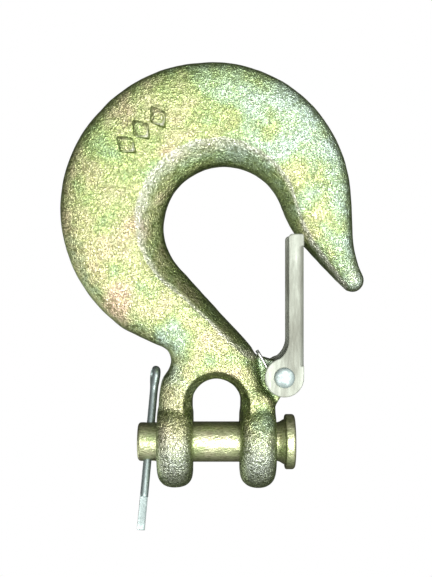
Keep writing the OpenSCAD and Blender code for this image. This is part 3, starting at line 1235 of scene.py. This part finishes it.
@dataclass
class CotterPin:
    """Split pin: one half-round wire carried down a leg, round an eye and down the other leg."""

    material: Material
    foot: np.ndarray
    axis: np.ndarray
    long_leg: float = 25.9
    short_leg: float = 16.4
    wire_r: float = 1.2
    eye_up: float = 20.4
    eye_r: float = 1.7
    twist: float = 16.0
    split: float = 0.06

    def path(self) -> np.ndarray:
        """The wire's flat side, up one leg, round the eye and down the other.

        Returns:
            Rows of the place across the split and along the legs.
        """
        e, r, s = self.eye_up, self.eye_r, self.split
        legs = np.linspace(-self.short_leg, e - 6.6, 24)
        rise = np.stack([np.full(24, -s), legs], axis=1)
        loop = np.array([
            [-s - 0.02, e - 5.2], [-0.35, e - 3.6], [-1.15, e - 1.9],
            [-r, e - 0.2], [-1.25, e + 1.15], [0, e + r]])
        half = spline(np.vstack([rise[-1:], loop]), 8)
        other = half[::-1] * [-1, 1]
        down = np.stack([np.full(20, s), np.linspace(e - 6.6, -self.long_leg, 20)], axis=1)
        return np.vstack([rise[:-1], half, other[1:], down[1:]])

    def build(self) -> Piece:
        """Makes the cotter pin where it stands in the clevis pin's hole.

        The wire's section is half a circle, whose flat side follows the path.

        Returns:
            The cotter pin.
        """
        path = self.path()
        ahead = np.gradient(path, axis=0)
        ahead /= np.linalg.norm(ahead, axis=1, keepdims=True)
        out = np.stack([-ahead[:, 1], ahead[:, 0]], axis=1)
        a = np.linspace(0, np.pi, 17)
        wide = np.concatenate([np.cos(a) * self.wire_r, [-0.6, 0.0, 0.6]])
        high = np.concatenate([np.sin(a) * self.wire_r * 0.97 + 0.02, [0.0, 0.0, 0.0]])
        w = self.axis
        across_x = np.array([1.0, 0, 0]) - w * w[0]
        across_x /= np.linalg.norm(across_x)
        across_y = np.cross(w, across_x)
        turn = math.radians(self.twist)
        wide_axis = math.cos(turn) * across_x + math.sin(turn) * across_y
        split_axis = -math.sin(turn) * across_x + math.cos(turn) * across_y
        flat = path[:, None, :] + high[None, :, None] * out[:, None, :]
        rings = self.foot + flat[:, :, :1] * split_axis + flat[:, :, 1:] * w
        rings = rings + wide[None, :, None] * wide_axis
        piece = tube_object("split_pin", rings)
        finish_piece(piece, self.material)
        soften(piece, 0.13, 40.0, 2)
        return piece


# ---------------------------------------------------------------- latch, rivet and spring


@dataclass
class Latch:
    """Pressed sheet channel that closes the hook's mouth."""

    material: Material
    pivot: np.ndarray
    outer: float
    top: float
    sheet: float = 1.3
    boss_r: float = 5.75
    arm_w: float = 4.5
    reach: float = 3.6
    web_bottom: float = 2.4
    blend_r: float = 7.0
    blend_up: float = 11.0
    corner: float = 1.2
    bend: float = 1.6

    def __post_init__(self) -> None:
        """Works out the inside of the cheeks and the arm's free edge."""
        self.inner = self.outer - self.sheet
        self.left = self.boss_r - self.arm_w

    def cheek_outline(self) -> np.ndarray:
        """Outline of a cheek: round boss, concave blend and straight arm.

        The blend's circle leaves the boss where the triangle of the two centres and the
        meeting point closes, by the law of cosines.

        Returns:
            Rows of x and z from the pivot.
        """
        centre = np.array([self.left - self.blend_r, self.blend_up])
        gap = np.linalg.norm(centre)
        share = (self.blend_r**2 + gap**2 - self.boss_r**2) / (2 * self.blend_r * gap)
        meet = math.degrees(math.atan2(centre[1], centre[0]))
        away = meet + 180 + math.degrees(math.acos(min(1.0, share)))
        edge = centre + self.blend_r * direction(away)
        boss_from = math.degrees(math.atan2(edge[1], edge[0]))
        small = self.corner * 0.5
        return np.vstack([
            arc((0, 0), self.boss_r, boss_from, 360, 64),
            arc((self.boss_r - small, self.top - small), small, 0, 90, 6),
            arc((self.left + self.corner, self.top - self.corner), self.corner, 90, 180, 8),
            arc(centre, self.blend_r, 360, away, 24)[:-1],
        ])

    def channel(self) -> Piece:
        """Makes the web with its two bends, a channel section carried up the arm.

        Returns:
            The channel.
        """
        r_out, r_in = self.bend, max(self.bend - self.sheet, 0.3)
        left = self.left + 1.0
        x, y = self.boss_r - r_out, self.outer - r_out
        xi, yi = self.boss_r - self.sheet - r_in, self.inner - r_in
        section = np.vstack([
            [[left, -self.outer]], arc((x, -y), r_out, -90, 0), arc((x, y), r_out, 0, 90),
            [[left, self.outer], [left, self.inner]],
            arc((xi, yi), r_in, 90, 0, 7), arc((xi, -yi), r_in, 0, -90, 7), [[left, -self.inner]]])
        heights = np.linspace(self.web_bottom, self.top - self.reach, 40)
        return tube_object("channel", carried(section, heights, 2) + self.pivot)

    def cheek(self, side: int) -> Piece:
        """Makes one cheek, with its long edge rounded to follow the bend.

        Args:
            side: -1 for the near cheek or 1 for the far one.

        Returns:
            The cheek, with its rivet hole.
        """
        faces = sorted((side * self.inner, side * self.outer))
        cheek = tube_object("cheek", carried(self.cheek_outline(), faces, 1) + self.pivot)
        x, y, r = self.boss_r, self.outer, self.bend
        waste = np.vstack([
            [[x + 0.5, y + 0.5], [x + 0.5, y - r]], arc((x - r, y - r), r, 0, 90), [[x - r, y + 0.5]]])
        waste = carried(waste * [1, side], (self.web_bottom + 1.0, self.top - self.reach), 2)
        hole = round_bar(RIVET_HOLE_R, 64)[:, :, [1, 0, 2]]
        cut(cheek, tube_object("corner", waste + self.pivot))
        cut(cheek, tube_object("hole", hole + self.pivot))
        return cheek

    def build(self) -> Piece:
        """Makes the latch closed.

        Returns:
            The latch.
        """
        piece = fuse("latch_channel", [self.cheek(-1), self.cheek(1), self.channel()], 0.2, 6)
        finish_piece(piece, self.material)
        return piece


@dataclass
class Rivet:
    """Rivet through the latch and the lug, with both heads peened to low domes."""

    material: Material
    pivot: np.ndarray
    half_grip: float
    shank_r: float = 2.25
    head_r: float = 3.0
    head_t: float = 1.2

    def build(self) -> Piece:
        """Makes the rivet as one turned outline, with an uneven hammered skin on its heads.

        Returns:
            The rivet.
        """
        g, t, r = self.half_grip, self.head_t, self.head_r
        a = np.radians(np.linspace(0.5, 82, 22))
        dome = np.stack([-(g + t * 0.25 + t * 0.75 * np.cos(a) ** 0.8), r * np.sin(a) ** 0.9], axis=1)
        shank = [[-g, self.shank_r], [-g / 2, self.shank_r]]
        half = np.vstack([dome, [[-(g + 0.25), r], [-g - 0.02, r - 0.08]], shank])
        profile = np.vstack([half, half[::-1] * [-1, 1]])
        rings = revolved(profile, 96)[:, :, [1, 0, 2]] + self.pivot
        piece = tube_object("peened_rivet", rings)
        points, normals = coordinates(piece), vertex_normals(piece)
        head = np.abs(points[:, 1]) > g + 0.3
        lift = np.where(head, 0.07 * lattice_noise(points, 1.1, 5), 0.0)
        set_coordinates(piece, points + normals * lift[:, None])
        finish_piece(piece, self.material)
        return piece


@dataclass
class Spring:
    """Double torsion spring: a coil on each side of the lug, and a bar that bears on the latch."""

    material: Material
    pivot: np.ndarray
    coil_y: float
    web_x: float
    leg_y: float = 4.05
    wire_r: float = 0.5
    coil_r: float = 2.9
    turns: float = 1.75
    hook_leg: tuple[float, float] = (-7.6, 7.3)
    bar_z: float = 15.0
    bar_corner: float = 1.3

    def half(self, side: int) -> np.ndarray:
        """Centre line from the leg on the hook, round the coil and up to the bar's corner.

        Args:
            side: -1 for the near coil or 1 for the far one.

        Returns:
            One point a row.
        """
        leg = np.array(self.hook_leg)
        start = math.degrees(math.atan2(leg[1], leg[0]) + math.acos(self.coil_r / np.linalg.norm(leg)))
        end = 360.0 * math.ceil(self.turns)
        a = np.linspace(start, end, 90)
        share = np.linspace(0, 1, 90)
        coil = np.stack([
            self.coil_r * np.cos(np.radians(a)),
            self.leg_y + share * (self.coil_y - self.leg_y),
            self.coil_r * np.sin(np.radians(a))], axis=1)
        t = np.linspace(0, 1, 14, endpoint=False)[:, None]
        rest = np.array([leg[0], self.leg_y, leg[1]]) * (1 - t) + coil[0] * t
        rise = spline(np.array([
            coil[-1], [self.coil_r + 0.15, self.coil_y, 3.0], [self.web_x, self.coil_y, self.bar_z - 3.0],
            [self.web_x, self.coil_y, self.bar_z - self.bar_corner]]), 10)
        path = np.vstack([rest, coil, rise[1:]])
        return path * [1, side, 1] + self.pivot

    def bar(self) -> np.ndarray:
        """Centre line of the bar across the latch, with a round corner at each end.

        Returns:
            One point a row.
        """
        x, y, z, r = self.web_x, self.coil_y, self.bar_z, self.bar_corner
        corner = arc((y - r, z - r), r, 0, 90)
        one = np.stack([np.full(9, x), corner[:, 0], corner[:, 1]], axis=1)
        other = one[::-1] * [1, -1, 1]
        across = np.linspace(one[-1], other[0], 8)[1:-1]
        start = np.array([[x, y, z - 1.8]])
        return np.vstack([start, one, across, other, start * [1, -1, 1]]) + self.pivot

    def build(self) -> tuple[list[Piece], Piece]:
        """Makes the spring.

        Returns:
            The two coils, and the bar.
        """
        near, far = self.half(-1), self.half(1)
        paths = {"spring_coil_near": near, "spring_coil_far": far, "spring_bar": self.bar()}
        wires = [tube_object(name, swept_wire(path, self.wire_r, 16)) for name, path in paths.items()]
        for wire in wires:
            finish_piece(wire, self.material)
        return wires[:2], wires[2]


# ---------------------------------------------------------------- studio


WHITE = (1.0, 1.0, 1.0, 1.0)


@dataclass(frozen=True)
class Lamp:
    """An oblong soft light: its place and sides in metres, and its power in watts."""

    name: str
    place: Triple
    wide: float
    high: float
    power: float


@dataclass
class Studio:
    """Camera, lights, floor and surroundings, in metres."""

    aim: Triple = (-0.00015, 0.0, 0.0459)
    distance: float = 0.30
    frame_height: float = 0.1731
    sensor: float = 36.0
    lamps: tuple[Lamp, ...] = (
        Lamp("front", (0.12, -0.90, -0.04), 0.56, 0.34, 7.6),
        Lamp("rim", (-0.6, 0.3, -0.3), 0.4, 0.4, 1.5),
    )
    light_side: Triple = (0.24, -0.94, -0.12)
    sky: tuple[float, float, float, float] = (-0.15, 1.0, 0.06, 0.76)
    floor_z: float = -0.042
    floor_half: float = 2.0

    def camera(self) -> None:
        """Puts the camera square in front of the hook's flat face, at the height of its middle."""
        data = bpy.data.cameras.new("camera")
        data.sensor_width = self.sensor
        data.lens = self.sensor * self.distance / self.frame_height
        data.clip_start = 0.01
        camera = bpy.data.objects.new("camera", data)
        camera.location = (self.aim[0], self.aim[1] - self.distance, self.aim[2])
        camera.rotation_euler = (math.radians(90), 0.0, 0.0)
        bpy.context.scene.collection.objects.link(camera)
        bpy.context.scene.camera = camera

    def light(self, lamp: Lamp) -> None:
        """Adds one light, turned to the hook's middle.

        Args:
            lamp: its size, power and place.
        """
        data = bpy.data.lights.new(lamp.name, "AREA")
        data.shape = "RECTANGLE"
        data.size, data.size_y = lamp.wide, lamp.high
        data.energy = lamp.power
        light = bpy.data.objects.new(lamp.name, data)
        light.location = lamp.place
        heading = Vector(self.aim) - Vector(lamp.place)
        light.rotation_euler = heading.to_track_quat("-Z", "Y").to_euler()
        bpy.context.scene.collection.objects.link(light)

    def surroundings(self) -> None:
        """Puts white behind the hook as seen, and for its reflections a sky that is bright on one side.

        The sky's brightness rises with the cosine c between its direction and the light
        side's: the four numbers of sky are c where it is darkest and brightest, and how
        bright it is there, with a smoothstep between.
        """
        world = bpy.data.worlds.new("surroundings")
        world.use_nodes = True
        tree = world.node_tree
        background = tree.nodes["Background"]
        path = tree.nodes.new("ShaderNodeLightPath")
        mix = tree.nodes.new("ShaderNodeMix")
        mix.data_type = "RGBA"
        mix.inputs[MIX_SECOND].default_value = WHITE
        place = tree.nodes.new("ShaderNodeTexCoord")
        dot = tree.nodes.new("ShaderNodeVectorMath")
        dot.operation = "DOT_PRODUCT"
        dot.inputs[1].default_value = Vector(self.light_side).normalized()
        level = tree.nodes.new("ShaderNodeMapRange")
        level.interpolation_type = "SMOOTHSTEP"
        for socket, value in zip(("From Min", "From Max", "To Min", "To Max"), self.sky):
            level.inputs[socket].default_value = value
        tree.links.new(place.outputs["Generated"], dot.inputs[0])
        tree.links.new(dot.outputs["Value"], level.inputs["Value"])
        tree.links.new(level.outputs["Result"], mix.inputs[MIX_FIRST])
        tree.links.new(path.outputs["Is Camera Ray"], mix.inputs[MIX_SHARE])
        tree.links.new(mix.outputs[MIX_RESULT], background.inputs["Color"])
        bpy.context.scene.world = world
        bpy.context.scene.view_settings.view_transform = "Standard"

    def floor(self) -> None:
        """Lays a plain white floor below the hook, which neither lights it nor shows in it."""
        material = bpy.data.materials.new("floor")
        material.use_nodes = True
        tree = material.node_tree
        tree.nodes.clear()
        glow = tree.nodes.new("ShaderNodeEmission")
        glow.inputs["Color"].default_value = WHITE
        tree.links.new(glow.outputs[0], tree.nodes.new("ShaderNodeOutputMaterial").inputs["Surface"])
        mesh = bpy.data.meshes.new("floor")
        w, z = self.floor_half, self.floor_z
        mesh.from_pydata([(-w, -w, z), (w, -w, z), (w, w, z), (-w, w, z)], [], [(0, 1, 2, 3)])
        mesh.materials.append(material)
        floor = bpy.data.objects.new("floor", mesh)
        floor.visible_diffuse = floor.visible_glossy = False
        floor.visible_transmission = floor.visible_shadow = False
        bpy.context.scene.collection.objects.link(floor)

    def build(self) -> None:
        """Makes the whole studio."""
        self.camera()
        self.floor()
        for lamp in self.lamps:
            self.light(lamp)
        self.surroundings()


# ---------------------------------------------------------------- assembly


@dataclass
class Hook:
    """The whole hook, piece by piece."""

    frame: dict
    pieces: list[str] = field(default_factory=list)
    rivet_play: float = 0.15
    bar_behind_web: float = 0.6
    blend_inset: float = 0.1

    def __post_init__(self) -> None:
        """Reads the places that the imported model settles."""
        joints = {j["name"]: j for j in self.frame["joints"]}
        self.pivot = np.array(joints["latch_pivot"]["pos_m"]) / MM
        self.cotter_axis = np.array(joints["cotter_pull"]["axis"], float)
        self.cotter_axis /= np.linalg.norm(self.cotter_axis)
        mounts = {m["name"]: m for m in self.frame["record"]["mounts"]}
        self.land = mounts["clevis_pin"]["dims"]
        self.boxes = {name: np.array([list(v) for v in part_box(name)]) / MM for name in self.frame["nodes"]}

    def place(self, piece: Piece, body: str, node: str, slot: str) -> None:
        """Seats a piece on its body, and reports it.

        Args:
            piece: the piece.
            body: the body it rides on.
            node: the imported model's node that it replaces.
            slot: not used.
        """
        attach(piece, body)
        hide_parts(node)
        self.note(piece, body)

    def note(self, piece: Piece, body: str) -> None:
        """Reports a piece and where it goes."""
        self.pieces.append(piece.name)
        log.info("%s on %s, %d faces", piece.name, body, len(piece.data.polygons))

    def build_forging(self) -> None:
        """Makes the forging and its rivet."""
        across = (self.pivot[0], self.pivot[2])
        forging = Forging(Finish.FORGED.make(), across, self.land["length_mm"] / 2)
        self.place(forging.build(), "hook", "hook_body", "forged_dichromate")
        half_grip = self.boxes["latch"][1, 1] + self.rivet_play
        rivet = Rivet(Finish.RIVET.make(), self.pivot, half_grip)
        self.place(rivet.build(), "hook", "latch_rivet", "rivet_bright")

    def build_pins(self) -> None:
        """Makes the clevis pin and its cotter."""
        tail, head = self.boxes["clevis_pin"][:, 0]
        pin = ClevisPin(Finish.PIN.make(), tail, head, self.land["length_mm"] / 2, self.land["r_mm"])
        self.place(pin.build(self.cotter_axis), "clevis_pin", "clevis_pin", "pin_dichromate")
        foot = np.array([pin.tail_x + pin.cotter_in, 0.0, 0.0])
        cotter = CotterPin(Finish.COTTER.make(), foot, self.cotter_axis)
        self.place(cotter.build(), "cotter_pin", "cotter_pin", "cotter_zinc")

    def build_latch(self) -> None:
        """Makes the latch and its spring, whose coils go from the hook to the latch."""
        far = self.boxes["latch"][1]
        latch = Latch(Finish.LATCH.make(), self.pivot, far[1], far[2] - self.pivot[2])
        self.place(latch.build(), "latch", "latch", "latch_zinc")
        coil_y = self.boxes["latch_spring"][1, 1] - Spring.wire_r
        web_x = latch.boss_r - latch.sheet - self.bar_behind_web
        spring = Spring(Finish.WIRE.make(), self.pivot, coil_y, web_x)
        coils, bar = spring.build()
        for side, coil in zip((-1, 1), coils):
            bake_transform(coil)
            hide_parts("latch_spring")
            self.note(coil, "hook and latch")
        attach(bar, "latch")
        self.note(bar, "latch")

    def build(self) -> None:
        """Makes every piece in order."""
        self.build_forging()
        self.build_pins()
        self.build_latch()
        log.info("%d pieces", len(self.pieces))


def main() -> None:
    """Loads the frame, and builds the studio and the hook."""
    logging.basicConfig(level=logging.INFO, format="%(message)s")
    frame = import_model()
    Studio().build()
    Hook(frame).build()


if __name__ == "__main__":
    main()
